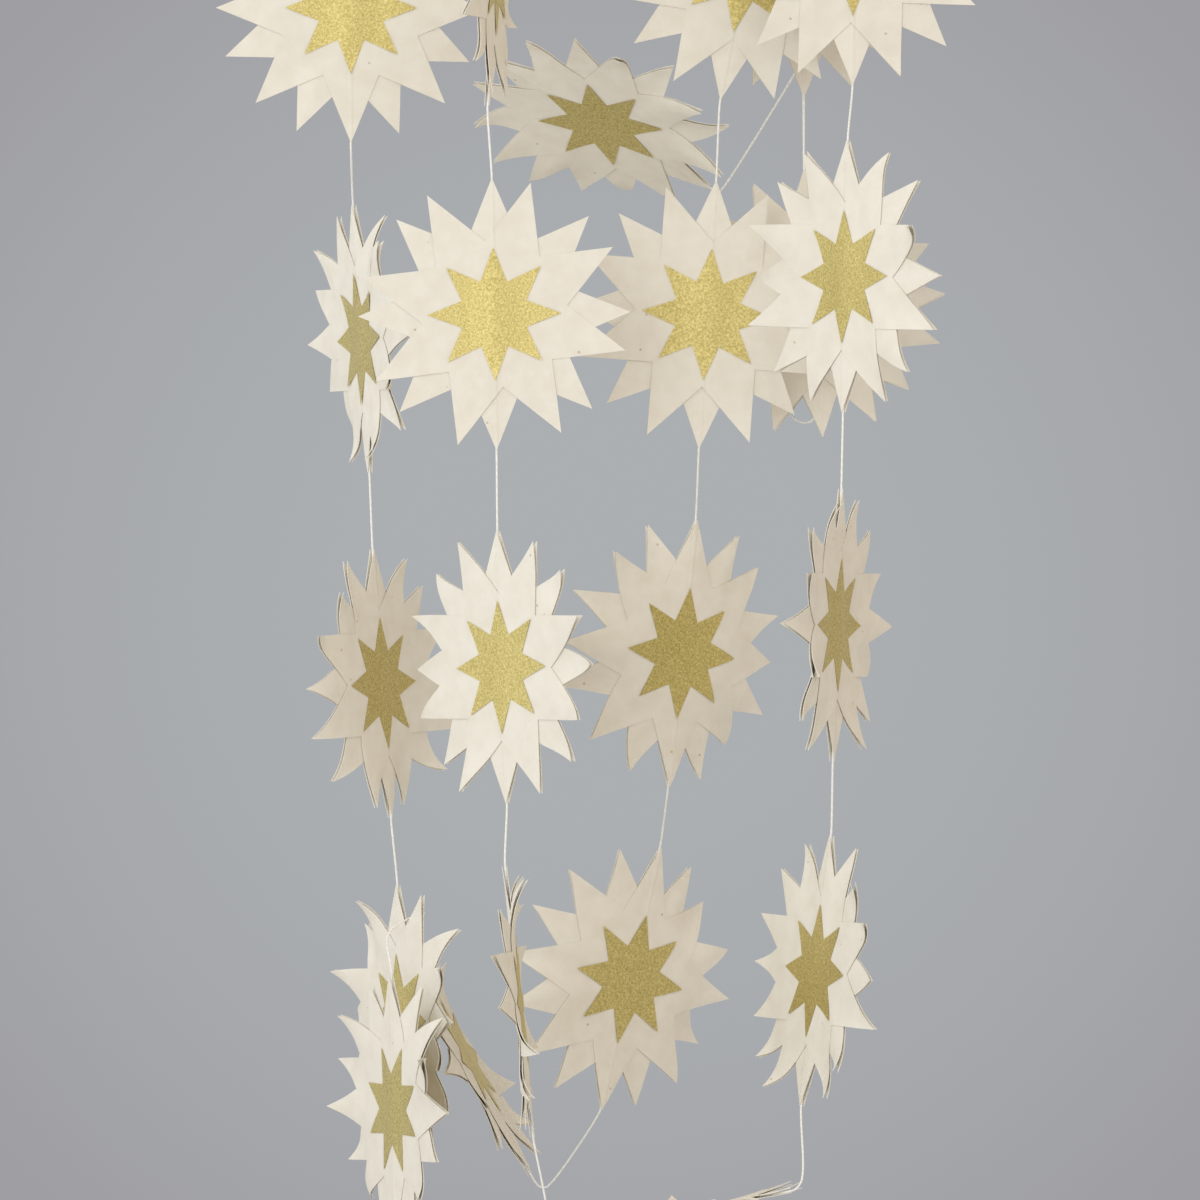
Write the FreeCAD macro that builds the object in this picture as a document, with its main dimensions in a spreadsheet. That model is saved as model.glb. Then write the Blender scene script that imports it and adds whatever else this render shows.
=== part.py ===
import FreeCAD, Part
import math
import os
import random

import Sketcher
from FreeCAD import Placement, Rotation, Vector

# Paper star garland: 23 layered paper stars on one cotton thread, hung up in swags.
# Millimetres. X is to the right, Y is away from the front, Z is up. The origin is the middle of
# the level line on which the two end loops and the three top bends of the thread hang.

doc = FreeCAD.newDocument("paper_star_garland")
sheet = doc.addObject("Spreadsheet::Sheet", "Sizes")

SIZES = (
    ("ray_count", 8, "rays of every paper star"),
    ("cream_radius", 65.0, "centre to tip of a cream sheet"),
    ("cream_root", 35.0, "centre to the notch between two rays of a cream sheet"),
    ("paper_thick", 0.3, "one cream sheet of handmade paper"),
    ("gold_radius", 31.8, "centre to tip of a gold star"),
    ("gold_root", 16.7, "centre to the notch between two rays of a gold star"),
    ("gold_thick", 0.15, "one gold star of foiled paper"),
    ("thread_dia", 1.0, "twisted cotton thread"),
    ("thread_gap", 0.03, "from the thread to the sheet on each side of it"),
    ("tip_margin", 3.0, "straight thread beyond a star's tip, up to the turn"),
    ("turn_reach", 2.7, "length of thread on each side of a turn beside a tip"),
    ("lift_least", 0.5, "smallest lift of an outer sheet's ray, degrees"),
    ("lift_most", 6.0, "largest lift of an outer sheet's ray, degrees"),
    ("loop_radius", 8.0, "end loop, to the middle of its thread"),
    ("knot_radius", 1.5, "knot under an end loop"),
    ("knot_length", 4.0, "knot under an end loop"),
)
for row, (name, value, note) in enumerate(SIZES, start=1):
    sheet.set("A%d" % row, name)
    sheet.set("B%d" % row, str(value))
    sheet.set("C%d" % row, note)
    sheet.setAlias("B%d" % row, name)
doc.recompute()
size = {name: float(sheet.get(name)) for name, value, note in SIZES}

RAYS = int(size["ray_count"])
STEP = 2.0 * math.pi / RAYS
THREAD_RADIUS = size["thread_dia"] / 2.0
HALF_GAP = THREAD_RADIUS + size["thread_gap"]
OUTER_SHEET = HALF_GAP + size["paper_thick"]
OUTER_FACE = OUTER_SHEET + size["paper_thick"]

# The places below are for stars of 65 mm radius. They move apart as the stars grow.
SPREAD = size["cream_radius"] / 65.0

# Each star, in its order on the thread: the centre's x, y and z, then in degrees how far its top
# leans to the right, how far its top nods to the front and how far it is turned about the thread
# (right side to the back), then the tip where the thread comes in, and the family of its front
# outer sheet: "between" has its rays between those that hold the thread, "along" has them on it.
STARS = (
    (-120.0, 20.0, -118.0, 0.0, 0.0, 4.0, "top", "along"),
    (-115.5, 45.0, -277.0, -3.5, 0.0, -71.0, "top", "between"),
    (-105.5, 42.0, -443.5, -3.9, 0.0, 62.0, "top", "between"),
    (-96.5, 42.0, -606.0, -1.3, 0.0, -64.0, "top", "between"),
    (-99.0, 8.0, -648.0, -1.0, 0.0, -67.0, "bottom", "along"),
    (-64.5, 90.0, -626.0, -28.3, 0.0, 84.0, "top", "between"),
    (14.6, 64.0, -587.0, 12.8, 0.0, 35.0, "bottom", "along"),
    (39.6, 45.0, -429.0, 5.9, 0.0, 34.0, "bottom", "along"),
    (51.9, 30.0, -265.5, 3.7, 0.0, 2.0, "bottom", "between"),
    (70.0, 20.0, -98.5, 10.7, 0.0, 3.0, "bottom", "between"),
    (103.7, 72.0, -259.3, -4.0, 0.0, 6.0, "top", "between"),
    (103.5, 58.0, -259.0, -4.0, 0.0, 6.0, "bottom", "between"),
    (98.9, 58.0, -94.5, 0.0, 0.0, 5.0, "bottom", "between"),
    (121.0, -10.0, -91.5, 0.0, 0.0, 8.0, "top", "between"),
    (117.0, -40.0, -249.0, 1.0, 0.0, -52.0, "top", "between"),
    (113.0, -42.0, -415.2, 1.8, 0.0, 71.0, "top", "between"),
    (103.0, -42.0, -580.0, 6.3, 0.0, -65.0, "top", "between"),
    (32.8, -44.0, -696.4, 77.5, 24.0, 88.0, "top", "between"),
    (-38.5, -46.0, -594.5, -5.9, 0.0, 88.0, "bottom", "between"),
    (-46.6, -45.0, -435.2, -2.0, 0.0, -48.0, "bottom", "between"),
    (-50.4, -45.0, -267.0, -1.0, 0.0, 0.0, "bottom", "between"),
    (-49.0, -45.0, -103.0, 4.0, 0.0, 80.0, "bottom", "between"),
    (0.5, 66.0, -171.8, -60.0, 20.0, -55.0, "top", "between"),
)

# Where a slack link leaves a star between its sheets, before the tip: millimetres from the centre.
SLACK_ENDS = {(11, "bottom"): 36.0, (12, "bottom"): 52.0}

# Extra points of the thread between two stars, by the number of the star before them: the slack
# links, the turns beside a tip, and the bends at the top, where it hangs on something.
LINKS = {
    0: ((-122.0, 20.0, -17.5),),
    4: ((-95.0, 41.0, -690.0), (-96.0, 34.0, -708.0), (-97.5, 24.0, -724.0), (-98.5, 13.0, -728.0)),
    5: ((-104.0, 21.0, -564.0), (-93.3, 33.2, -557.0), (-82.5, 46.0, -554.0), (-92.0, 80.0, -558.0)),
    6: ((-29.0, 84.0, -689.5), (-24.0, 78.5, -688.5)),
    10: ((84.0, 22.0, -11.0), (86.5, 32.0, 2.5), (93.0, 62.0, 2.5), (97.5, 76.0, -11.0)),
    11: (
        (99.8, 71.3, -303.2),
        (94.2, 70.6, -309.1),
        (93.1, 67.5, -314.4),
        (96.4, 63.8, -316.8),
        (100.7, 60.2, -317.4),
        (103.5, 57.6, -315.9),
    ),
    13: ((99.5, 56.0, -10.0), (103.0, 43.0, 2.5), (116.5, 2.0, 2.5), (120.0, -8.5, -10.0)),
    17: ((97.0, -68.0, -676.5),),
    18: (
        (-35.5, -15.0, -715.5),
        (-36.5, -22.5, -723.0),
        (-29.0, -31.0, -724.5),
        (-23.5, -38.0, -714.0),
        (-25.0, -41.5, -693.0),
    ),
    22: ((-44.0, -43.5, -11.0), (-43.5, -33.0, 2.5), (-44.0, -12.0, 2.5), (-44.5, 0.0, -10.0)),
    23: ((61.4, 91.3, -204.3), (172.0, 105.0, -17.5)),
}


def star_placement(number):
    """Where a star stands: its centre, and its lean, nod and turn."""
    x, y, z, lean, nod, turn = STARS[number - 1][:6]
    tilt = Rotation(Vector(0, 1, 0), lean) * Rotation(Vector(1, 0, 0), nod)
    return Placement(Vector(x, y, z) * SPREAD, tilt * Rotation(Vector(0, 0, 1), turn))


# Gold stars and flat cream sheets are cut from flat paper: one ray is drawn, given its
# thickness and turned round the centre.


def flat_star(name, radius, root, thick):
    """A body with a flat star in the XZ plane, its first ray up and its thickness towards -Y."""
    body = doc.addObject("PartDesign::Body", name)
    plane = [o for o in body.Origin.OriginFeatures if o.Role == "XZ_Plane"][0]
    axis = [o for o in body.Origin.OriginFeatures if o.Role == "Y_Axis"][0]
    ray = body.newObject("Sketcher::SketchObject", name + "_ray")
    ray.AttachmentSupport = [(plane, "")]
    ray.MapMode = "FlatFace"
    notch = Vector(size[root] * math.sin(STEP / 2), size[root] * math.cos(STEP / 2), 0)
    corners = (Vector(0, 0, 0), notch, Vector(0, size[radius], 0), Vector(-notch.x, notch.y, 0))
    for i, corner in enumerate(corners):
        ray.addGeometry(Part.LineSegment(corner, corners[(i + 1) % 4]), False)
    for i in range(4):
        ray.addConstraint(Sketcher.Constraint("Coincident", i, 2, (i + 1) % 4, 1))
    ray.addConstraint(Sketcher.Constraint("Coincident", 0, 1, -1, 1))
    ray.addConstraint(Sketcher.Constraint("PointOnObject", 1, 2, -2))
    ray.addConstraint(Sketcher.Constraint("Symmetric", 0, 2, 2, 2, -2))
    tip_height = ray.addConstraint(Sketcher.Constraint("DistanceY", 0, 1, 1, 2, size[radius]))
    side_length = ray.addConstraint(Sketcher.Constraint("Distance", 0, size[root]))
    half_turn = ray.addConstraint(Sketcher.Constraint("Angle", 3, 2, 0, 1, STEP))
    ray.setExpression("Constraints[%d]" % tip_height, "Sizes." + radius)
    ray.setExpression("Constraints[%d]" % side_length, "Sizes." + root)
    ray.setExpression("Constraints[%d]" % half_turn, "360 / Sizes.ray_count")
    pad = body.newObject("PartDesign::Pad", name + "_pad")
    pad.Profile = ray
    pad.setExpression("Length", "Sizes." + thick)
    doc.recompute()
    rays = body.newObject("PartDesign::PolarPattern", name + "_rays")
    rays.Originals = [pad]
    rays.Axis = (axis, [""])
    rays.Angle = 360
    rays.setExpression("Occurrences", "Sizes.ray_count")
    rays.Refine = True
    body.Tip = rays
    doc.recompute()
    return body


gold_cut = flat_star("gold_cut", "gold_radius", "gold_root", "gold_thick")
cream_cut = flat_star("cream_cut", "cream_radius", "cream_root", "paper_thick")


def lifted_star(phase, lifts):
    """A cream sheet whose rays are folded along the middle's edges, each by its lift in degrees."""
    fold = size["cream_root"] * math.cos(STEP / 2)
    length = size["cream_radius"] - fold
    roots, tips = [], []
    for i in range(RAYS):
        angle = phase + (i - 0.5) * STEP
        roots.append(Vector(math.sin(angle), 0, math.cos(angle)) * size["cream_root"])
        lift = math.radians(lifts[i])
        out = fold + length * math.cos(lift)
        angle = phase + i * STEP
        tips.append(Vector(out * math.sin(angle), -length * math.sin(lift), out * math.cos(angle)))
    thick = Vector(0, -size["paper_thick"], 0)
    faces = []
    for layer in (Vector(0, 0, 0), thick):
        middle = [p + layer for p in roots]
        faces.append(Part.Face(Part.makePolygon(middle + middle[:1])))
        for i in range(RAYS):
            ray = [roots[i] + layer, tips[i] + layer, roots[(i + 1) % RAYS] + layer]
            faces.append(Part.Face(Part.makePolygon(ray + ray[:1])))
    for i in range(RAYS):
        for a, b in ((roots[i], tips[i]), (tips[i], roots[(i + 1) % RAYS])):
            edge = [a, b, b + thick, a + thick]
            faces.append(Part.Face(Part.makePolygon(edge + edge[:1])))
    solid = Part.Solid(Part.Shell(faces))
    if solid.Volume < 0:
        solid.reverse()
    return solid


def lifts_of(number, side, family):
    """The lifts of one outer sheet's rays. The two rays that hold the thread stay flat on it."""
    drawn = random.Random(100 * number + side)
    lifts = [drawn.uniform(size["lift_least"], size["lift_most"]) for i in range(RAYS)]
    if family == "along":
        lifts[0] = 0.0
        lifts[RAYS // 2] = 0.0
    return lifts


def set_apart(shape, phase, distance, facing):
    """A copy of a sheet turned by its phase, moved out by a distance and facing front or back."""
    placed = shape.copy()
    placed.rotate(Vector(0, 0, 0), Vector(0, 1, 0), math.degrees(phase))
    placed.translate(Vector(0, -distance, 0))
    if facing == "back":
        placed.rotate(Vector(0, 0, 0), Vector(0, 0, 1), 180)
    return placed


def cream_sheets(number):
    """The four cream sheets of a star: two on each side of the thread, rays half a step apart."""
    front = STARS[number - 1][7]
    families = {"front": front, "back": "along" if front == "between" else "between"}
    sheets = []
    for side, facing in enumerate(("front", "back")):
        outer = families[facing]
        outer_phase = STEP / 2 if outer == "between" else 0.0
        inner_phase = STEP / 2 - outer_phase
        lifts = lifts_of(number, side, outer)
        sheets.append(set_apart(cream_cut.Shape, inner_phase, HALF_GAP, facing))
        sheets.append(set_apart(lifted_star(outer_phase, lifts), 0.0, OUTER_SHEET, facing))
    return Part.makeCompound(sheets)


def gold_stars(number):
    """The two gold stars of a star, one on each face."""
    faces = [set_apart(gold_cut.Shape, 0.0, OUTER_FACE, facing) for facing in ("front", "back")]
    return Part.makeCompound(faces)


parts = []
for number in range(1, len(STARS) + 1):
    for kind, make in (("cream", cream_sheets), ("gold", gold_stars)):
        star = doc.addObject("Part::Feature", "%s_star_%02d" % (kind, number))
        star.Label = star.Name
        star.Shape = make(number)
        star.Placement = star_placement(number)
        parts.append(star)


# The thread runs straight through each star and turns just outside its tips.


def tip_turns(number):
    """The two turns of the thread beside a star's tips, in the order in which it passes them."""
    place = star_placement(number)
    tip = size["cream_radius"] + size["tip_margin"]
    top = SLACK_ENDS.get((number, "top"), tip / SPREAD) * SPREAD
    bottom = SLACK_ENDS.get((number, "bottom"), tip / SPREAD) * SPREAD
    ends = [place.multVec(Vector(0, 0, top)), place.multVec(Vector(0, 0, -bottom))]
    return ends if STARS[number - 1][6] == "top" else ends[::-1]


def thread_points():
    """The thread's corners as (point, longest reach of its arc along each run)."""
    points = []
    for number in range(len(STARS) + 1):
        if number > 0:
            points += [(p, size["turn_reach"]) for p in tip_turns(number)]
        points += [(Vector(*p) * SPREAD, 1000.0) for p in LINKS.get(number, ())]
    return points


def thread_wire(points):
    """Straight runs joined by tangent arcs, and the radius of each arc."""
    edges, radii, start = [], [], points[0][0]
    for i in range(1, len(points) - 1):
        before, (corner, most), after = points[i - 1][0], points[i], points[i + 1][0]
        back, ahead = (before - corner), (after - corner)
        reach = min(most, 0.45 * min(back.Length, ahead.Length))
        back.normalize()
        ahead.normalize()
        turn = math.pi - back.getAngle(ahead)
        if turn < math.radians(0.2):
            continue
        radius = reach / math.tan(turn / 2)
        radii.append(radius)
        inward = back + ahead
        inward.normalize()
        middle = corner + inward * (radius / math.cos(turn / 2) - radius)
        edges.append(Part.LineSegment(start, corner + back * reach).toShape())
        edges.append(Part.Arc(corner + back * reach, middle, corner + ahead * reach).toShape())
        start = corner + ahead * reach
    edges.append(Part.LineSegment(start, points[-1][0]).toShape())
    return Part.Wire(edges), radii


route = thread_points()
wire, radii = thread_wire(route)
start_way = route[1][0] - route[0][0]
section = Part.Wire(Part.makeCircle(THREAD_RADIUS, route[0][0], start_way))
thread = doc.addObject("Part::Feature", "thread")
thread.Label = "thread"
thread.Shape = wire.makePipeShell([section], True, False)
parts.append(thread)
expected = math.pi * THREAD_RADIUS**2 * wire.Length
print("thread: %.0f mm long, %d arcs" % (wire.Length, len(radii)))
print("thread radii, smallest first: " + " ".join("%.1f" % r for r in sorted(radii)[:24]))
print("thread volume over section times length: %.4f" % (thread.Shape.Volume / expected))


# Each end of the thread has a loop to hang it by, closed with a knot.


def end_loop(name, end, way):
    """A ring of thread above a knot, standing on the thread's end and in line with it."""
    upright = Rotation(Vector(0, 0, 1), way)
    knot = doc.addObject("Part::Cylinder", name + "_knot")
    knot.setExpression("Radius", "Sizes.knot_radius")
    knot.setExpression("Height", "Sizes.knot_length")
    knot.Placement = Placement(end, upright)
    ring = doc.addObject("Part::Torus", name + "_ring")
    ring.setExpression("Radius1", "Sizes.loop_radius")
    ring.setExpression("Radius2", "Sizes.thread_dia / 2")
    rise = size["knot_length"] / 2 + size["loop_radius"]
    stand = Placement(Vector(0, 0, rise), Rotation(Vector(0, 1, 0), 90))
    ring.Placement = Placement(end, upright) * stand
    loop = doc.addObject("Part::Fuse", name)
    loop.Label = name
    loop.Base = knot
    loop.Tool = ring
    loop.Refine = True
    parts.append(loop)


end_loop("end_loop_left", route[0][0], route[0][0] - route[1][0])
end_loop("end_loop_right", route[-1][0], route[-1][0] - route[-2][0])

doc.recompute()
failed = [o.Name for o in doc.Objects if {"Invalid", "Error"} & set(o.State)]
if failed:
    raise RuntimeError("failed objects: " + ", ".join(failed))
for part in parts:
    if part.Shape.isNull() or not part.Shape.isValid() or not part.Shape.Solids:
        raise RuntimeError(part.Label + " has no valid solid")

os.makedirs("parts", exist_ok=True)
for part in parts:
    part.Shape.exportStep("parts/%s.step" % part.Label)
print("%d parts, %d solids" % (len(parts), sum(len(p.Shape.Solids) for p in parts)))
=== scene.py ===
"""Paper star garland, dressed: curled handmade paper stars with gold hearts on a cotton thread.

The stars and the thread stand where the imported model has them. Tables are in millimetres and
degrees, everything that is built is in metres.
"""

import logging
import math
import random
from dataclasses import dataclass
from enum import Enum

import bpy
from mathutils import Matrix, Vector


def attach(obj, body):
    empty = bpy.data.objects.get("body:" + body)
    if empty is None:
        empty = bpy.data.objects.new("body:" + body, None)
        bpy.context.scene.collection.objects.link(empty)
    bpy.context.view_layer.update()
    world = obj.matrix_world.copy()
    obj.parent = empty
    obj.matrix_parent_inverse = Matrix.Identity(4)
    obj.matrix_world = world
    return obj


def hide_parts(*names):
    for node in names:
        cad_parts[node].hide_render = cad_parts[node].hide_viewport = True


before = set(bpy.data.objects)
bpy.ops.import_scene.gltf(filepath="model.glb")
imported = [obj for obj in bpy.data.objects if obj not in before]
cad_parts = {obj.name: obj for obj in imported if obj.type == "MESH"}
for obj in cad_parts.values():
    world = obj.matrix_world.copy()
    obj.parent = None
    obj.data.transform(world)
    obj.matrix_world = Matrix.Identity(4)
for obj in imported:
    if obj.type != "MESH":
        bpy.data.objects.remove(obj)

LOG = logging.getLogger("paper_star_garland")
MM = 0.001
RAYS = 8
POINTS = 2 * RAYS
STEP = 2.0 * math.pi / RAYS

# Where the seeds of each kind of draw start. The model's own lifts start at 0.
SWAY_SEED = 40
FLARE_SEED = 300
CURL_SEED = 7000
SEEDS_PER_STAR = 100


class Tip(Enum):
    """The tip of a star where the thread comes in."""

    TOP = 1
    BOTTOM = -1


class Family(Enum):
    """Where a sheet has its rays: on the line of the thread, or halfway between."""

    ALONG = 0.0
    BETWEEN = 0.5

    @property
    def other(self) -> "Family":
        """The family of the sheet under or over one of this family."""
        return Family.ALONG if self is Family.BETWEEN else Family.BETWEEN


class Facing(Enum):
    """The side of the thread on which a sheet lies, as the way of its Y axis."""

    FRONT = -1.0
    BACK = 1.0


@dataclass(frozen=True)
class Hang:
    """How one star hangs: its centre, then its lean, nod and turn, and how it is threaded."""

    x: float
    y: float
    z: float
    lean: float
    nod: float
    turn: float
    entry: Tip
    front: Family

    def matrix(self) -> Matrix:
        """The star's place and turn in metres, from its own frame to the garland's."""
        place = Matrix.Translation(Vector((self.x, self.y, self.z)) * MM)
        lean = Matrix.Rotation(math.radians(self.lean), 4, "Y")
        nod = Matrix.Rotation(math.radians(self.nod), 4, "X")
        return place @ lean @ nod @ Matrix.Rotation(math.radians(self.turn), 4, "Z")

    def family(self, facing: Facing) -> Family:
        """The family of the outer sheet on one side.

        Args:
            facing: The side of the star.

        Returns:
            The front sheet's own family, or the other one at the back.
        """
        return self.front if facing is Facing.FRONT else self.front.other


HANGS = (
    Hang(-120.0, 20.0, -118.0, 0.0, 0.0, 4.0, Tip.TOP, Family.ALONG),
    Hang(-115.5, 45.0, -277.0, -3.5, 0.0, -71.0, Tip.TOP, Family.BETWEEN),
    Hang(-105.5, 42.0, -443.5, -3.9, 0.0, 62.0, Tip.TOP, Family.BETWEEN),
    Hang(-96.5, 42.0, -606.0, -1.3, 0.0, -64.0, Tip.TOP, Family.BETWEEN),
    Hang(-99.0, 8.0, -648.0, -1.0, 0.0, -67.0, Tip.BOTTOM, Family.ALONG),
    Hang(-64.5, 90.0, -626.0, -28.3, 0.0, 84.0, Tip.TOP, Family.BETWEEN),
    Hang(14.6, 64.0, -587.0, 12.8, 0.0, 35.0, Tip.BOTTOM, Family.ALONG),
    Hang(39.6, 45.0, -429.0, 5.9, 0.0, 34.0, Tip.BOTTOM, Family.ALONG),
    Hang(51.9, 30.0, -265.5, 3.7, 0.0, 2.0, Tip.BOTTOM, Family.BETWEEN),
    Hang(70.0, 20.0, -98.5, 10.7, 0.0, 3.0, Tip.BOTTOM, Family.BETWEEN),
    Hang(103.7, 72.0, -259.3, -4.0, 0.0, 6.0, Tip.TOP, Family.BETWEEN),
    Hang(103.5, 58.0, -259.0, -4.0, 0.0, 6.0, Tip.BOTTOM, Family.BETWEEN),
    Hang(98.9, 58.0, -94.5, 0.0, 0.0, 5.0, Tip.BOTTOM, Family.BETWEEN),
    Hang(121.0, -10.0, -91.5, 0.0, 0.0, 8.0, Tip.TOP, Family.BETWEEN),
    Hang(117.0, -40.0, -249.0, 1.0, 0.0, -52.0, Tip.TOP, Family.BETWEEN),
    Hang(113.0, -42.0, -415.2, 1.8, 0.0, 71.0, Tip.TOP, Family.BETWEEN),
    Hang(103.0, -42.0, -580.0, 6.3, 0.0, -65.0, Tip.TOP, Family.BETWEEN),
    Hang(32.8, -44.0, -696.4, 77.5, 24.0, 88.0, Tip.TOP, Family.BETWEEN),
    Hang(-38.5, -46.0, -594.5, -5.9, 0.0, 88.0, Tip.BOTTOM, Family.BETWEEN),
    Hang(-46.6, -45.0, -435.2, -2.0, 0.0, -48.0, Tip.BOTTOM, Family.BETWEEN),
    Hang(-50.4, -45.0, -267.0, -1.0, 0.0, 0.0, Tip.BOTTOM, Family.BETWEEN),
    Hang(-49.0, -45.0, -103.0, 4.0, 0.0, 80.0, Tip.BOTTOM, Family.BETWEEN),
    Hang(0.5, 66.0, -171.8, -60.0, 20.0, -55.0, Tip.TOP, Family.BETWEEN),
)

# How far a star's left and right side bend to the front, in degrees, where it shows.
LEANS = {
    1: (-3.0, -22.0),
    7: (-14.0, -16.0),
    8: (-14.0, -18.0),
    9: (0.0, -18.0),
    15: (10.0, -8.0),
}

# How far a star's halfway sheets were glued askew, in degrees, and the most where it isn't given.
ASKEW = {21: -6.0}
MOST_ASKEW = 1.5

# How much of the full bends a star has, where it hangs flat.
SWINGS = {1: 0.5, 9: 0.45, 10: 0.5, 14: 0.5, 21: 0.25}

# A star that lies on the back of another one and bends with it.
FOLDED_ON = {11: 12}

# Turn of a star's gold stars against the thread, in degrees, where they were glued askew.
GOLD_TURNS = {5: 22.5}

# Where a slack link leaves a star between its sheets, in millimetres from the star's centre.
SLACK_ENDS = {(11, Tip.BOTTOM): 36.0, (12, Tip.BOTTOM): 52.0}

# The thread's points between two stars, by the number of the star before them.
LINKS = {
    0: ((-122.0, 20.0, -17.5),),
    4: (
        (-95.0, 41.0, -690.0),
        (-96.0, 34.0, -708.0),
        (-97.5, 24.0, -724.0),
        (-98.5, 13.0, -728.0),
    ),
    5: (
        (-104.0, 21.0, -564.0),
        (-93.3, 33.2, -557.0),
        (-82.5, 46.0, -554.0),
        (-92.0, 80.0, -558.0),
    ),
    6: ((-29.0, 84.0, -689.5), (-24.0, 78.5, -688.5)),
    10: ((84.0, 22.0, -11.0), (86.5, 32.0, 2.5), (93.0, 62.0, 2.5), (97.5, 76.0, -11.0)),
    11: (
        (99.8, 71.3, -303.2),
        (94.2, 70.6, -309.1),
        (93.1, 67.5, -314.4),
        (96.4, 63.8, -316.8),
        (100.7, 60.2, -317.4),
        (103.5, 57.6, -315.9),
    ),
    13: ((99.5, 56.0, -10.0), (103.0, 43.0, 2.5), (116.5, 2.0, 2.5), (120.0, -8.5, -10.0)),
    17: ((97.0, -68.0, -676.5),),
    18: (
        (-35.5, -15.0, -715.5),
        (-36.5, -22.5, -723.0),
        (-29.0, -31.0, -724.5),
        (-23.5, -38.0, -714.0),
        (-25.0, -41.5, -693.0),
    ),
    22: ((-44.0, -43.5, -11.0), (-43.5, -33.0, 2.5), (-44.0, -12.0, 2.5), (-44.5, 0.0, -10.0)),
    23: ((61.4, 91.3, -204.3), (172.0, 105.0, -17.5)),
}


def linear(colour: str) -> tuple[float, float, float, float]:
    """Turns an sRGB hex colour into the linear colour that a socket takes.

    Args:
        colour: Six hex digits.

    Returns:
        Linear red, green, blue and an alpha of one.
    """
    parts = [int(colour[i : i + 2], 16) / 255.0 for i in (0, 2, 4)]
    light = [c / 12.92 if c <= 0.04045 else ((c + 0.055) / 1.055) ** 2.4 for c in parts]
    return (light[0], light[1], light[2], 1.0)


def add_node(
    tree: bpy.types.NodeTree, kind: str, values: dict, links: dict, **settings: object
) -> bpy.types.Node:
    """Adds one node with its settings, its socket values and its links.

    Args:
        tree: The node tree that gets the node.
        kind: The node's type.
        values: Input name or number to its value.
        links: Input name or number to the output that feeds it.
        **settings: Properties of the node itself.

    Returns:
        The new node.
    """
    node = tree.nodes.new(kind)
    for name, value in settings.items():
        setattr(node, name, value)
    for socket, value in values.items():
        node.inputs[socket].default_value = value
    for socket, output in links.items():
        tree.links.new(output, node.inputs[socket])
    return node


def empty_material(name: str) -> tuple[bpy.types.Material, bpy.types.NodeTree]:
    """Makes a material whose node tree is empty.

    Args:
        name: The material's name.

    Returns:
        The material and its node tree.
    """
    material = bpy.data.materials.new(name)
    material.use_nodes = True
    material.node_tree.nodes.clear()
    return material, material.node_tree


def object_place(tree: bpy.types.NodeTree) -> bpy.types.NodeSocket:
    """The output that gives each point's place in its own mesh, in metres."""
    return add_node(tree, "ShaderNodeTexCoord", {}, {}).outputs["Object"]


def noise(
    tree: bpy.types.NodeTree, place: bpy.types.NodeSocket, values: dict
) -> bpy.types.NodeSocket:
    """Adds noise.

    Args:
        tree: The node tree that gets the node.
        place: The output with the place.
        values: Input name to its value.

    Returns:
        The output with the noise.
    """
    return add_node(tree, "ShaderNodeTexNoise", values, {"Vector": place}).outputs["Fac"]


def ranged(
    tree: bpy.types.NodeTree,
    value: bpy.types.NodeSocket,
    taken: tuple[float, float],
    given: tuple[float, float] = (0.0, 1.0),
    curve: str = "LINEAR",
) -> bpy.types.NodeSocket:
    """Maps a value from one range to another and holds it at the ends.

    Args:
        tree: The node tree that gets the node.
        value: The output with the value.
        taken: The value's own range.
        given: The range that it is mapped to.
        curve: LINEAR, or SMOOTHSTEP to ease both ends.

    Returns:
        The output with the mapped value.
    """
    node = add_node(
        tree,
        "ShaderNodeMapRange",
        {"From Min": taken[0], "From Max": taken[1], "To Min": given[0], "To Max": given[1]},
        {"Value": value},
        interpolation_type=curve,
    )
    return node.outputs["Result"]


def computed(tree: bpy.types.NodeTree, operation: str, *terms: object) -> bpy.types.NodeSocket:
    """Adds one mathematical operation.

    Args:
        tree: The node tree that gets the node.
        operation: The operation's name.
        *terms: Numbers, and outputs that give one.

    Returns:
        The output with the result.
    """
    values = {i: term for i, term in enumerate(terms) if isinstance(term, float)}
    links = {i: term for i, term in enumerate(terms) if not isinstance(term, float)}
    return add_node(tree, "ShaderNodeMath", values, links, operation=operation).outputs[0]


def blended(
    tree: bpy.types.NodeTree, share: bpy.types.NodeSocket, first: object, second: str
) -> bpy.types.NodeSocket:
    """Mixes two colours.

    Args:
        tree: The node tree that gets the node.
        share: The output with the second colour's share.
        first: A hex colour, or the output that gives one.
        second: A hex colour.

    Returns:
        The output with the mixed colour.
    """
    # The names of a mix node's sockets repeat, so its colours go by number.
    values, links = {7: linear(second)}, {0: share}
    if isinstance(first, str):
        values[6] = linear(first)
    else:
        links[6] = first
    return add_node(tree, "ShaderNodeMix", values, links, data_type="RGBA").outputs[2]


def bumped(
    tree: bpy.types.NodeTree,
    height: bpy.types.NodeSocket,
    strength: float,
    distance: float,
    under: bpy.types.NodeSocket | None = None,
) -> bpy.types.NodeSocket:
    """Raises a surface in the look only.

    Args:
        tree: The node tree that gets the node.
        height: The output with the height, from 0 to 1.
        strength: How strong it looks, from 0 to 1.
        distance: How high 1 is, in metres.
        under: The output with the normal of a bump under this one.

    Returns:
        The output with the normal.
    """
    links = {"Height": height}
    if under is not None:
        links["Normal"] = under
    values = {"Strength": strength, "Distance": distance}
    return add_node(tree, "ShaderNodeBump", values, links).outputs["Normal"]


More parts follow.
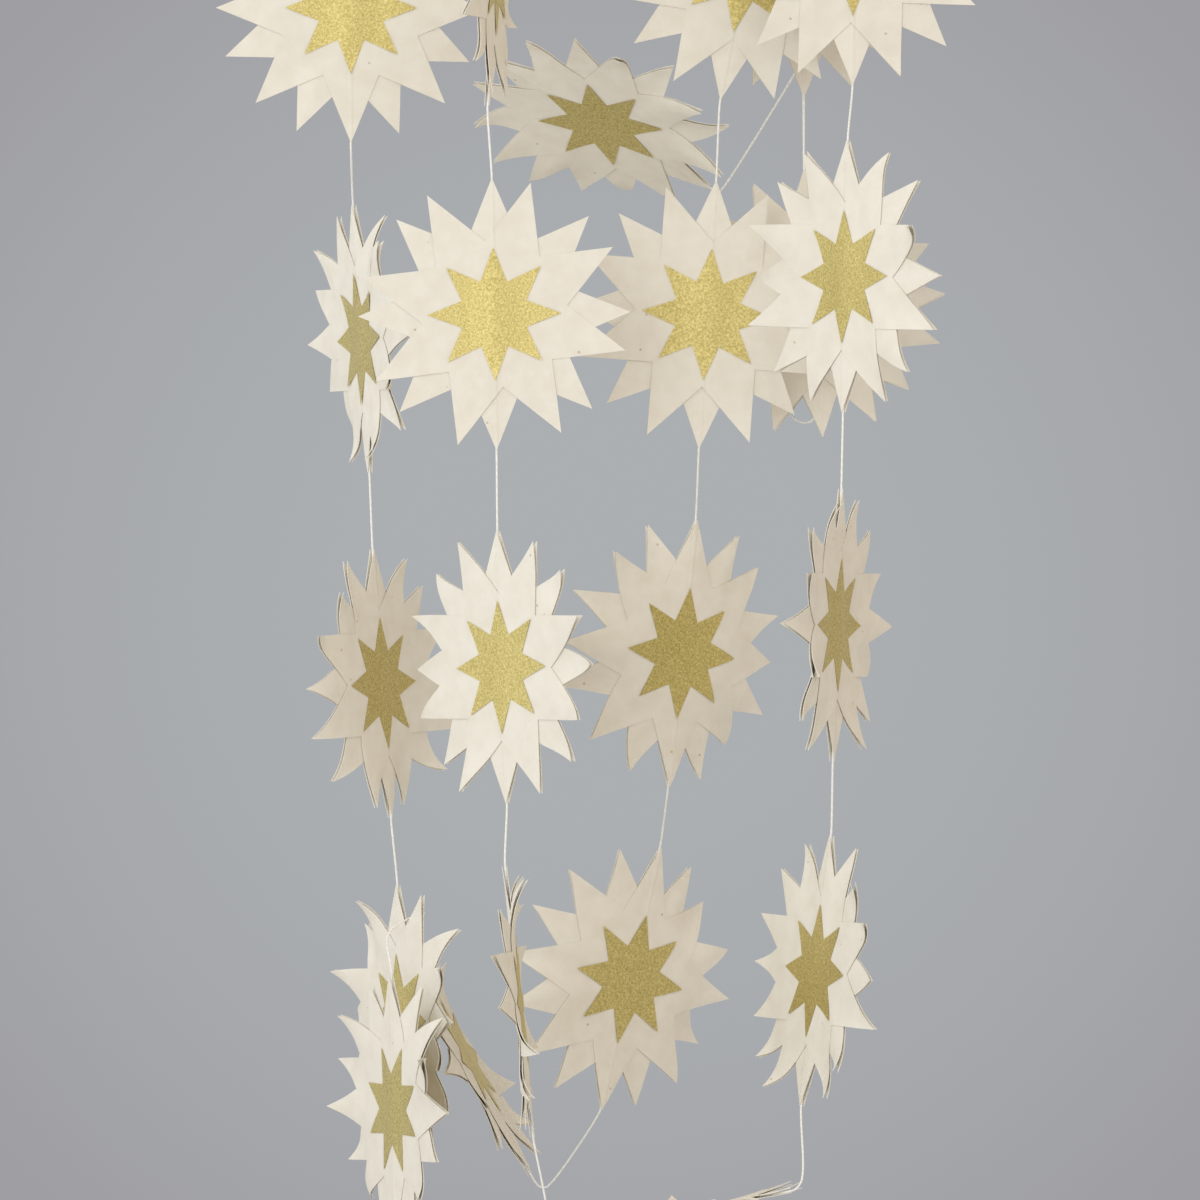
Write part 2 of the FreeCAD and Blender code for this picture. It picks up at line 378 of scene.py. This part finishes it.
def add_surface(tree: bpy.types.NodeTree, values: dict, links: dict) -> None:
    """Adds a material's surface and its output.

    Args:
        tree: The material's node tree.
        values: The surface's input name to its value.
        links: The surface's input name to the output that feeds it.
    """
    shader = add_node(tree, "ShaderNodeBsdfPrincipled", values, links)
    add_node(tree, "ShaderNodeOutputMaterial", {}, {"Surface": shader.outputs["BSDF"]})


def select_only(*objects: bpy.types.Object) -> None:
    """Deselects everything, then selects these objects and makes the first one active."""
    bpy.ops.object.select_all(action="DESELECT")
    for obj in objects:
        obj.select_set(True)
    bpy.context.view_layer.objects.active = objects[0]


@dataclass(frozen=True)
class HandmadePaper:
    """Handmade cotton-rag paper, couched and air dried: matt, cloudy, with stray husks."""

    name: str = "handmade_paper"
    sheet: str = "EEEAE0"
    cloud: str = "E9E4D8"
    fleck: str = "A98A5E"
    roughness: float = 0.86

    def material(self) -> bpy.types.Material:
        """Builds the paper: clouds of pulp, short fibres, a few husks and the thread's ridge."""
        material, tree = empty_material(self.name)
        place = object_place(tree)
        # Pulp clouds are about 9 mm wide in such paper, and its fibres lie about 0.8 mm apart.
        clouds = noise(tree, place, {"Scale": 110.0, "Detail": 4.0})
        fine = {"Scale": 900.0, "Detail": 5.0, "Roughness": 0.65, "Distortion": 1.2}
        fibres = noise(tree, place, fine)
        pulp = blended(tree, ranged(tree, clouds, (0.38, 0.66)), self.sheet, self.cloud)
        # Husks are specks of about 1 mm, one in a 14 mm cell at most.
        cells = {"Scale": 70.0, "Randomness": 1.0}
        husks = add_node(tree, "ShaderNodeTexVoronoi", cells, {"Vector": place})
        near = ranged(tree, husks.outputs["Distance"], (0.03, 0.06), (0.55, 0.0))
        stained = blended(tree, near, pulp, self.fleck)
        # The thread under the sheet presses up a ridge about 2 mm wide along the cut's middle.
        cut = add_node(tree, "ShaderNodeUVMap", {}, {}, uv_map="cut")
        across = add_node(tree, "ShaderNodeSeparateXYZ", {}, {"Vector": cut.outputs["UV"]})
        off = computed(tree, "ABSOLUTE", computed(tree, "SUBTRACT", across.outputs["X"], 0.5))
        ridge = ranged(tree, off, (0.002, 0.011), (1.0, 0.0), "SMOOTHSTEP")
        tooth = bumped(tree, fibres, 0.35, 0.00025)
        add_surface(
            tree,
            {"Roughness": self.roughness, "IOR": 1.5, "Specular IOR Level": 0.25},
            {"Base Color": stained, "Normal": bumped(tree, ridge, 0.5, 0.0004, tooth)},
        )
        return material


@dataclass(frozen=True)
class GoldPaper:
    """The same paper printed with gold bronze: a soft metal sheen, mottled where ink sank in."""

    name: str = "gold_bronzed_paper"
    bright: str = "EBDD9A"
    worn: str = "B0A05A"
    roughness: float = 0.4

    def material(self) -> bpy.types.Material:
        """Builds the gold: fine mottling, a finer grain and a crinkled surface."""
        material, tree = empty_material(self.name)
        place = object_place(tree)
        # The ink mottles in patches of about 1 mm, and its grain is about 0.4 mm.
        patches = noise(tree, place, {"Scale": 1000.0, "Detail": 6.0, "Roughness": 0.75})
        grain = noise(tree, place, {"Scale": 2400.0, "Detail": 4.0, "Roughness": 0.6})
        ink = blended(tree, ranged(tree, patches, (0.36, 0.64)), self.bright, self.worn)
        dull = ranged(tree, grain, (0.0, 1.0), (self.roughness - 0.06, self.roughness + 0.1))
        add_surface(
            tree,
            {"Metallic": 1.0, "Coat Weight": 0.25, "Coat Roughness": 0.45},
            {"Base Color": ink, "Roughness": dull, "Normal": bumped(tree, grain, 0.5, 0.0003)},
        )
        return material


@dataclass(frozen=True)
class CottonThread:
    """Bleached cotton twine, twisted from plies: matt, with a soft shadow in each lay."""

    name: str = "twisted_cotton"
    ply: str = "FBFBFA"
    lay: str = "F1F0ED"
    roughness: float = 0.9

    def material(self) -> bpy.types.Material:
        """Builds the cotton: plies that cross the thread every 1.5 mm or so."""
        material, tree = empty_material(self.name)
        wave = add_node(
            tree,
            "ShaderNodeTexWave",
            {"Scale": 160.0, "Distortion": 4.0, "Detail": 2.0},
            {"Vector": object_place(tree)},
            bands_direction="DIAGONAL",
        )
        plies = wave.outputs["Fac"]
        shade = blended(tree, plies, self.lay, self.ply)
        add_surface(
            tree,
            {"Roughness": self.roughness, "IOR": 1.53, "Specular IOR Level": 0.2},
            {"Base Color": shade, "Normal": bumped(tree, plies, 0.5, 0.0002)},
        )
        return material


@dataclass(frozen=True)
class StudioFloor:
    """Pale painted studio floor: smooth, matt and nearly white."""

    name: str = "pale_painted_floor"
    paint: str = "D9D9DA"
    roughness: float = 0.8

    def material(self) -> bpy.types.Material:
        """Builds the floor's plain matt paint."""
        material, tree = empty_material(self.name)
        add_surface(tree, {"Base Color": linear(self.paint), "Roughness": self.roughness}, {})
        return material


def smoothed(share: float) -> float:
    """Eases a share from 0 to 1 at both of its ends."""
    return share * share * (3.0 - 2.0 * share)


@dataclass(frozen=True)
class Ray:
    """How one ray leaves the flat: degrees at its root, more by its tip, more at its point."""

    lift: float
    curl: float = 0.0
    hook: float = 0.0

    def mixed(self, other: "Ray", share: float) -> "Ray":
        """A ray between this one and the next.

        Args:
            other: The next ray.
            share: How much of the next ray to take, from 0 to 1, eased at both ends.

        Returns:
            The mixed ray.
        """
        eased = smoothed(share)
        return Ray(
            self.lift + (other.lift - self.lift) * eased,
            self.curl + (other.curl - self.curl) * eased,
            self.hook + (other.hook - self.hook) * eased,
        )

    def slope(self, easing: float, to_tip: float, to_point: float) -> float:
        """The ray's slope at one place along it, in degrees.

        Args:
            easing: 0 where it starts to bend, 1 once it stands off.
            to_tip: 0 at its root, 1 at its tip.
            to_point: 0 up to its last stretch, 1 at its tip.

        Returns:
            The slope against the flat sheet.
        """
        return self.lift * easing + self.curl * to_tip + self.hook * to_point


def ray_between(rays: list[Ray], turns: float) -> Ray:
    """The bend at one place round a star, smooth from each ray to the next.

    Args:
        rays: The rays all round the star.
        turns: The place, counted in rays from the first one.

    Returns:
        The two nearest rays, mixed.
    """
    count = len(rays)
    turns %= count
    before = int(turns) % count
    return rays[before].mixed(rays[(before + 1) % count], turns - int(turns))


# The full bends of a star's points, in degrees. The lift and curl are drawn up to their most.
MOST_SWAY_LIFT = 4.0
MOST_SWAY_CURL = 19.0
SWAY_HOOKS = (-30.0, -10.0, 0.0, 0.0, 12.0, 28.0, 45.0)

# How fast the points come free of the thread, which holds the two on its line straight.
FREEING = 2.2


@dataclass(frozen=True)
class Sway:
    """How all the sheets of a star are bent together, drawn for each of its 16 points."""

    rays: list[Ray]

    @classmethod
    def drawn(cls, seed: int, swing: float, lean: tuple[float, float]) -> "Sway":
        """Draws the bends of one star, which leave the two points on the thread straight.

        Args:
            seed: Seed of the draw.
            swing: Share of the full bends, 1 for a limp star and less for a flat one.
            lean: Degrees by which its left and its right side bend to the front.

        Returns:
            The star's bends.
        """
        loose = random.Random(SWAY_SEED + seed)
        rays = []
        for i in range(POINTS):
            aside = math.sin(i * STEP / 2.0)
            side = lean[1] if aside > 0.0 else lean[0]
            held = swing * min(1.0, abs(aside) * FREEING)
            lift = side * abs(aside) + loose.uniform(-MOST_SWAY_LIFT, MOST_SWAY_LIFT)
            curl = 0.5 * side * abs(aside) + loose.uniform(-MOST_SWAY_CURL, MOST_SWAY_CURL)
            hook = loose.choice(SWAY_HOOKS)
            rays.append(Ray(lift * held, curl * held, hook * held))
        return cls(rays)

    def at(self, angle: float) -> Ray:
        """The shared bend at an angle from the thread's line, smooth between points.

        Args:
            angle: Radians clockwise from up, as seen from the front.

        Returns:
            The bend to the front.
        """
        return ray_between(self.rays, angle / (STEP / 2.0))


@dataclass(frozen=True)
class StarCut:
    """One size of flat eight-rayed star, cut from paper."""

    name: str
    tip: float
    root: float
    divisions: int
    fine_beyond: float

    def model(self) -> bpy.types.Object:
        """Models the flat star as a disc whose every second corner is pulled out to a tip.

        Returns:
            The blank, in metres, in its own XZ plane with one ray up.
        """
        bpy.ops.object.select_all(action="DESELECT")
        bpy.ops.mesh.primitive_circle_add(
            vertices=POINTS,
            radius=self.root * MM,
            fill_type="TRIFAN",
            rotation=(math.pi / 2.0, 0.0, 0.0),
        )
        blank = bpy.context.object
        blank.name = self.name
        bpy.ops.object.transform_apply(rotation=True)
        bpy.ops.object.mode_set(mode="EDIT")
        bpy.ops.mesh.select_all(action="DESELECT")
        bpy.ops.object.mode_set(mode="OBJECT")
        # Every second corner is on a ray. The blank's centre isn't a corner.
        for vertex in blank.data.vertices:
            turns = math.atan2(vertex.co.x, vertex.co.z) / STEP
            on_ray = abs(turns - round(turns)) < 0.1
            vertex.select = on_ray and vertex.co.length > 0.5 * self.root * MM
        bpy.ops.object.mode_set(mode="EDIT")
        bpy.ops.transform.resize(
            value=(self.tip / self.root,) * 3, center_override=(0.0, 0.0, 0.0)
        )
        bpy.ops.mesh.select_all(action="SELECT")
        bpy.ops.mesh.subdivide(number_cuts=self.divisions)
        bpy.ops.mesh.select_all(action="DESELECT")
        bpy.ops.mesh.select_mode(type="FACE")
        bpy.ops.object.mode_set(mode="OBJECT")
        for face in blank.data.polygons:
            face.select = face.center.length > self.fine_beyond * MM
        bpy.ops.object.mode_set(mode="EDIT")
        bpy.ops.mesh.subdivide(number_cuts=1)
        bpy.ops.mesh.select_all(action="SELECT")
        bpy.ops.mesh.quads_convert_to_tris()
        bpy.ops.object.mode_set(mode="OBJECT")
        while blank.data.uv_layers:
            blank.data.uv_layers.remove(blank.data.uv_layers[0])
        return blank


@dataclass
class Sheet:
    """One cream sheet of a star: its side, family and layer, its own rays and the star's sway.

    The lengths are in millimetres from the centre or from the thread's line.
    """

    facing: Facing
    family: Family
    layer: float
    rays: list[Ray]
    sway: Sway
    fold: float = 20.0
    easing: float = 14.0
    hook_from: float = 50.0
    tip: float = 65.0
    bend_step: float = 2.0
    half_gap: float = 0.53
    pressed: float = 0.015
    over_thread: float = 1.0
    beside_thread: float = 12.0
    flare_from: float = 10.0
    flare_way: float = 22.0

    def ray_at(self, angle: float) -> Ray:
        """The sheet's own bend at an angle from the line of the thread.

        Args:
            angle: Radians clockwise from up, as seen from the front.

        Returns:
            The nearest two rays mixed, so that the sheet is smooth across its notches.
        """
        return ray_between(self.rays, -self.facing.value * angle / STEP - self.family.value)

    def stood_off(self, reach: float, angle: float) -> tuple[float, float]:
        """Bends a radius along its ray, keeping its length.

        Args:
            reach: Distance from the centre in the flat sheet, in millimetres.
            angle: Radians clockwise from up, as seen from the front.

        Returns:
            The distance from the centre and the way moved to the front, in millimetres.
        """
        if reach <= self.fold:
            return reach, 0.0
        own, shared = self.ray_at(angle), self.sway.at(angle)
        out, front = self.fold, 0.0
        steps = max(1, math.ceil((reach - self.fold) / self.bend_step))
        length = (reach - self.fold) / steps
        for step in range(steps):
            along = self.fold + (step + 0.5) * length
            place = (
                min(1.0, (along - self.fold) / self.easing),
                (along - self.fold) / (self.tip - self.fold),
                max(0.0, (along - self.hook_from) / (self.tip - self.hook_from)),
            )
            slope = math.radians(shared.slope(*place) - self.facing.value * own.slope(*place))
            out += math.cos(slope) * length
            front += math.sin(slope) * length
        return out, front

    def height(self, across: float) -> float:
        """How far the sheet lies off the star's middle, over the thread or pressed flat beside it.

        Args:
            across: Distance from the thread's line, in millimetres.

        Returns:
            Millimetres from the middle plane to the sheet.
        """
        share = min(1.0, max(0.0, (across - self.over_thread) / self.beside_thread))
        return self.half_gap + (self.pressed - self.half_gap) * smoothed(share) + self.layer

    def bend(self, mesh: bpy.types.Mesh, raised: float, flare: float) -> None:
        """Moves a flat cut's points to this sheet's shape.

        Args:
            mesh: A copy of the flat cut, in metres, turned to its place.
            raised: How far the cut lies above this sheet, in millimetres.
            flare: How far the cut's own outer edge stands up, in millimetres.
        """
        for vertex in mesh.vertices:
            x, z = vertex.co.x / MM, vertex.co.z / MM
            reach, angle = math.hypot(x, z), math.atan2(x, z)
            out, front = self.stood_off(reach, angle)
            flared = flare * max(0.0, (reach - self.flare_from) / self.flare_way) ** 2
            off = self.height(abs(x)) + raised + flared
            vertex.co = (
                out * math.sin(angle) * MM,
                (self.facing.value * off - front) * MM,
                out * math.cos(angle) * MM,
            )


def write_cut_map(mesh: bpy.types.Mesh, span: float) -> None:
    """Writes where each point lay in the flat cut to the UV map named cut.

    Args:
        mesh: The flat cut, before it is bent.
        span: Tip to tip, in millimetres, as one unit of the map.
    """
    layer = mesh.uv_layers.new(name="cut")
    for loop in mesh.loops:
        flat = mesh.vertices[loop.vertex_index].co
        layer.data[loop.index].uv = (
            flat.x / (span * MM) + 0.5,
            flat.z / (span * MM) + 0.5,
        )


# How an outer sheet's rays stand off the sheet under them: a share of the model's lift, then a
# drawn curl and a drawn hook, in degrees. The two rays that hold the thread stay on it.
LIFT_SHARE = 0.2
MOST_CURL = 1.5
HOOKS = (0.0, 4.0, 10.0)
HELD_RAY = Ray(0.1, 0.3, 2.0)

# Faces that meet at a smaller angle than this are shaded as one, in degrees.
SMOOTH_UNDER = 40.0


@dataclass
class PaperStar:
    """One star: two pairs of cream sheets round the thread and a gold star on each face."""

    number: int
    hang: Hang
    cream_cut: bpy.types.Object
    gold_cut: bpy.types.Object
    paper: bpy.types.Material
    gold: bpy.types.Material
    paper_thick: float = 0.3
    gold_thick: float = 0.15
    loose_fit: float = 0.05
    least_lift: float = 0.5
    most_lift: float = 6.0
    least_flare: float = 0.2
    most_flare: float = 0.8
    gold_turn: float = 0.0
    askew: float = 0.0
    sway_seed: int = 0
    swing: float = 1.0
    lean: tuple[float, float] = (0.0, 0.0)

    def outer_rays(self, side: int, family: Family) -> list[Ray]:
        """The rays of an outer sheet: the model's own lifts, then a curl and a hook each.

        Args:
            side: 0 for the front and 1 for the back.
            family: The sheet's family. Rays that hold the thread stay on it.

        Returns:
            Eight rays, clockwise from the thread's line.
        """
        drawn = random.Random(SEEDS_PER_STAR * self.number + side)
        lifts = [drawn.uniform(self.least_lift, self.most_lift) for _ in range(RAYS)]
        loose = random.Random(CURL_SEED + SEEDS_PER_STAR * self.number + side)
        rays = []
        for lift in lifts:
            curl = loose.uniform(0.0, MOST_CURL)
            rays.append(Ray(LIFT_SHARE * lift, curl, loose.choice(HOOKS)))
        if family is Family.ALONG:
            rays[0] = rays[RAYS // 2] = HELD_RAY
        return rays

    def sheets(self) -> list[Sheet]:
        """The four cream sheets, each pair from the inside out."""
        made = []
        sway = Sway.drawn(self.sway_seed, self.swing, self.lean)
        for side, facing in enumerate((Facing.FRONT, Facing.BACK)):
            outer = self.hang.family(facing)
            made.append(Sheet(facing, outer.other, 0.0, [Ray(0.0)] * RAYS, sway))
            layer = self.paper_thick + self.loose_fit
            made.append(Sheet(facing, outer, layer, self.outer_rays(side, outer), sway))
        return made

    def laid(
        self, cut: bpy.types.Object, sheet: Sheet, turn: float, raised: float, flare: float
    ) -> bpy.types.Object:
        """Copies a flat cut and bends the copy to a sheet.

        Args:
            cut: The flat cut.
            sheet: The sheet whose shape it takes.
            turn: How far the cut is turned in its plane, in radians.
            raised: Height above the sheet's base, in millimetres.
            flare: Rise of its own outer edge, in millimetres.

        Returns:
            The bent copy, in the star's own frame.
        """
        copy = bpy.data.objects.new(cut.name + "_copy", cut.data.copy())
        bpy.context.scene.collection.objects.link(copy)
        copy.data.transform(Matrix.Rotation(turn, 4, "Y"))
        write_cut_map(copy.data, 2.0 * sheet.tip)
        sheet.bend(copy.data, raised, flare)
        if sheet.facing is Facing.BACK:
            copy.data.flip_normals()
        return copy

    def finished(
        self, layers: list[bpy.types.Object], name: str, thick: float, material: bpy.types.Material
    ) -> bpy.types.Object:
        """Joins bent cuts, gives them their thickness and hangs them in their place.

        Args:
            layers: The bent cuts. They become one object.
            name: The name of the finished piece.
            thick: The paper's thickness, in millimetres.
            material: Its finish.

        Returns:
            The finished piece, with its place in its mesh.
        """
        select_only(*layers)
        if len(layers) > 1:
            bpy.ops.object.join()
        piece = bpy.context.object
        piece.name = name
        solid = piece.modifiers.new("thickness", "SOLIDIFY")
        solid.thickness = thick * MM
        solid.offset = 1.0
        bpy.ops.object.modifier_apply(modifier="thickness")
        bpy.ops.object.shade_smooth_by_angle(angle=math.radians(SMOOTH_UNDER))
        piece.data.materials.clear()
        piece.data.materials.append(material)
        piece.data.transform(self.hang.matrix())
        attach(piece, "root")
        return piece

    def build(self) -> tuple[bpy.types.Object, bpy.types.Object]:
        """Builds the star's cream and gold pieces, which stand for its two nodes.

        Returns:
            The cream piece and the gold piece.
        """
        sheets = self.sheets()
        cream = []
        for sheet in sheets:
            turn = STEP / 2.0 + self.askew if sheet.family is Family.BETWEEN else 0.0
            cream.append(self.laid(self.cream_cut, sheet, turn, 0.0, 0.0))
        label = "%02d" % self.number
        stars = self.finished(cream, "cream_sheets_" + label, self.paper_thick, self.paper)
        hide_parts("cream_star_" + label)
        flares = random.Random(FLARE_SEED + self.number)
        raised = self.paper_thick + self.loose_fit
        golds = []
        for sheet in (sheets[1], sheets[3]):
            flare = flares.uniform(self.least_flare, self.most_flare)
            golds.append(self.laid(self.gold_cut, sheet, self.gold_turn, raised, flare))
        hearts = self.finished(golds, "gold_hearts_" + label, self.gold_thick, self.gold)
        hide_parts("gold_star_" + label)
        return stars, hearts


@dataclass
class SwagThread:
    """The one thread through all the stars, and the loops at its ends."""

    material: bpy.types.Material
    reach: float = 68.0
    grip: float = 6.0
    thick: float = 1.0
    length: float = 4.7

    def points(self) -> list[Vector]:
        """The thread's corners in metres: a pair beside each tip, and its links between stars."""
        line = [Vector(p) * MM for p in LINKS[0]]
        for number, hang in enumerate(HANGS, start=1):
            top = SLACK_ENDS.get((number, Tip.TOP), self.reach)
            bottom = SLACK_ENDS.get((number, Tip.BOTTOM), self.reach)
            held = [top, top - self.grip, self.grip - bottom, -bottom]
            if hang.entry is Tip.BOTTOM:
                held.reverse()
            line += [hang.matrix() @ Vector((0.0, 0.0, along * MM)) for along in held]
            line += [Vector(p) * MM for p in LINKS.get(number, ())]
        return line

    def build(self) -> bpy.types.Object:
        """Returns:
            The thread.
        """
        line = self.points()
        curve = bpy.data.curves.new("swag_thread", "CURVE")
        curve.dimensions = "3D"
        spline = curve.splines.new("NURBS")
        spline.points.add(len(line) - 1)
        for point, place in zip(spline.points, line):
            point.co = (place.x, place.y, place.z, 1.0)
        spline.order_u = 3
        spline.use_endpoint_u = True
        curve.resolution_u = 8
        curve.bevel_depth = self.thick / 2.0 * MM
        curve.bevel_resolution = 2
        curve.use_fill_caps = True
        curve.materials.append(self.material)
        piece = bpy.data.objects.new("swag_thread", curve)
        bpy.context.scene.collection.objects.link(piece)
        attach(piece, "root")
        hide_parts("thread")
        loops = [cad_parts["end_loop_left"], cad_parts["end_loop_right"]]
        for loop in loops:
            loop.data.materials.clear()
            loop.data.materials.append(self.material)
        return piece


@dataclass
class Studio:
    """The camera, the light and the floor far below the garland. Lengths are in metres."""

    centre_z: float = -0.4032
    frame_height: float = 0.576
    distance: float = 6.0
    sensor_mm: float = 36.0
    lamp_place: tuple[float, float, float] = (-1.0, -2.2, 0.3)
    lamp_side: float = 1.6
    lamp_watts: float = 14.0
    lamp_colour: tuple[float, float, float] = (0.95, 0.975, 1.0)
    light_left: str = "FDFDFB"
    light_right: str = "FFF1DE"
    wall_middle: str = "ABAFB2"
    # Painted shade: the wall's darker grey at the frame's corners.
    wall_corner_shade: str = "9F9EA3"
    floor_radius: float = 2.4
    floor_z: float = -0.86

    def camera(self) -> None:
        """Sets the camera level in front of the garland, with the photograph's frame."""
        data = bpy.data.cameras.new("camera")
        data.sensor_fit = "HORIZONTAL"
        data.sensor_width = self.sensor_mm
        data.lens = self.sensor_mm * self.distance / self.frame_height
        data.clip_end = 50.0
        camera = bpy.data.objects.new("camera", data)
        camera.location = (0.0, -self.distance, self.centre_z)
        camera.rotation_euler = (math.pi / 2.0, 0.0, 0.0)
        bpy.context.scene.collection.objects.link(camera)
        bpy.context.scene.camera = camera

    def lamp(self) -> None:
        """Hangs one large soft lamp at the front left, above the camera."""
        data = bpy.data.lights.new("soft_window", "AREA")
        data.shape = "RECTANGLE"
        data.size = self.lamp_side
        data.size_y = self.lamp_side
        data.energy = self.lamp_watts
        data.color = self.lamp_colour
        lamp = bpy.data.objects.new("soft_window", data)
        lamp.location = self.lamp_place
        aim = Vector((0.0, 0.0, self.centre_z)) - lamp.location
        lamp.rotation_euler = aim.to_track_quat("-Z", "Y").to_euler()
        bpy.context.scene.collection.objects.link(lamp)

    def light_level(
        self, tree: bpy.types.NodeTree, way: bpy.types.Node
    ) -> bpy.types.NodeSocket:
        """The strength of the light from each way: most from the front, least from the wall.

        Args:
            tree: The world's node tree.
            way: The node that gives the way's X, Y and Z.

        Returns:
            The output with the strength.
        """
        front = ranged(tree, way.outputs["Y"], (-0.35, 0.35), (0.66, 0.36), "SMOOTHSTEP")
        sides = ranged(tree, way.outputs["X"], (-0.9, 0.9), (0.26, 0.22))
        # A white wall close on the left, which the gold of the stars that face it mirrors.
        white = ranged(tree, way.outputs["X"], (-0.97, -0.75), (0.6, 0.0), "SMOOTHSTEP")
        return computed(tree, "ADD", computed(tree, "ADD", front, sides), white)

    def wall_colour(
        self, tree: bpy.types.NodeTree, way: bpy.types.Node
    ) -> bpy.types.NodeSocket:
        """The grey of the wall behind the garland, with painted shade that darkens it towards the
        frame's corners.

        Args:
            tree: The world's node tree.
            way: The node that gives the way's X, Y and Z.

        Returns:
            The output with the colour.
        """
        # Painted shade: the wall's grey darkens towards the frame's corners.
        aside = computed(tree, "POWER", way.outputs["X"], 2.0)
        above = computed(tree, "POWER", way.outputs["Z"], 2.0)
        to_corner = ranged(tree, computed(tree, "ADD", aside, above), (0.0003, 0.0042))
        return blended(tree, to_corner, self.wall_middle, self.wall_corner_shade)

    def room(self) -> None:
        """Lights the garland from all round, and shows the camera a plain grey wall."""
        world = bpy.data.worlds.new("plain_room")
        bpy.context.scene.world = world
        world.use_nodes = True
        tree = world.node_tree
        tree.nodes.clear()
        where = add_node(tree, "ShaderNodeTexCoord", {}, {})
        way = add_node(tree, "ShaderNodeSeparateXYZ", {}, {"Vector": where.outputs["Generated"]})
        rightward = ranged(tree, way.outputs["X"], (-0.9, 0.9))
        tint = blended(tree, rightward, self.light_left, self.light_right)
        light = {"Color": tint, "Strength": self.light_level(tree, way)}
        lit = add_node(tree, "ShaderNodeBackground", {}, light)
        wall = {"Color": self.wall_colour(tree, way)}
        shown = add_node(tree, "ShaderNodeBackground", {"Strength": 1.0}, wall)
        seen = add_node(tree, "ShaderNodeLightPath", {}, {}).outputs["Is Camera Ray"]
        sides = {0: seen, 1: lit.outputs["Background"], 2: shown.outputs["Background"]}
        both = add_node(tree, "ShaderNodeMixShader", {}, sides)
        add_node(tree, "ShaderNodeOutputWorld", {}, {"Surface": both.outputs["Shader"]})

    def floor(self) -> None:
        """Lays a pale round floor below the garland, under the camera's frame."""
        bpy.ops.object.select_all(action="DESELECT")
        bpy.ops.mesh.primitive_circle_add(
            vertices=96,
            radius=self.floor_radius,
            fill_type="NGON",
            location=(0.0, 0.0, self.floor_z),
        )
        floor = bpy.context.object
        floor.name = "studio_floor"
        bpy.ops.object.transform_apply(location=True)
        floor.data.materials.append(StudioFloor().material())

    def build(self) -> None:
        """Sets up the camera, the lamp, the room's light and the floor."""
        self.camera()
        self.lamp()
        self.room()
        self.floor()
        bpy.context.scene.view_settings.view_transform = "Standard"


def main() -> None:
    """Builds the studio, the thread and then each star in its order on the thread."""
    logging.basicConfig(level=logging.INFO, format="%(name)s: %(message)s")
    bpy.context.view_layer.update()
    Studio().build()
    SwagThread(CottonThread().material()).build()
    LOG.info("thread built")
    paper, gold = HandmadePaper().material(), GoldPaper().material()
    cream_cut = StarCut("cream_cut", tip=65.0, root=35.0, divisions=6, fine_beyond=42.0).model()
    gold_cut = StarCut("gold_cut", tip=31.8, root=16.7, divisions=4, fine_beyond=20.0).model()
    for number, hang in enumerate(HANGS, start=1):
        star = PaperStar(
            number,
            hang,
            cream_cut,
            gold_cut,
            paper,
            gold,
            gold_turn=math.radians(GOLD_TURNS.get(number, 0.0)),
            askew=math.radians(ASKEW.get(number, MOST_ASKEW * math.sin(number))),
            sway_seed=FOLDED_ON.get(number, number),
            swing=SWINGS.get(number, 1.0),
            lean=LEANS.get(number, (0.0, 0.0)),
        )
        for piece in star.build():
            LOG.info("%s: %d faces", piece.name, len(piece.data.polygons))
    for cut in (cream_cut, gold_cut):
        bpy.data.objects.remove(cut)


if __name__ == "__main__":
    main()
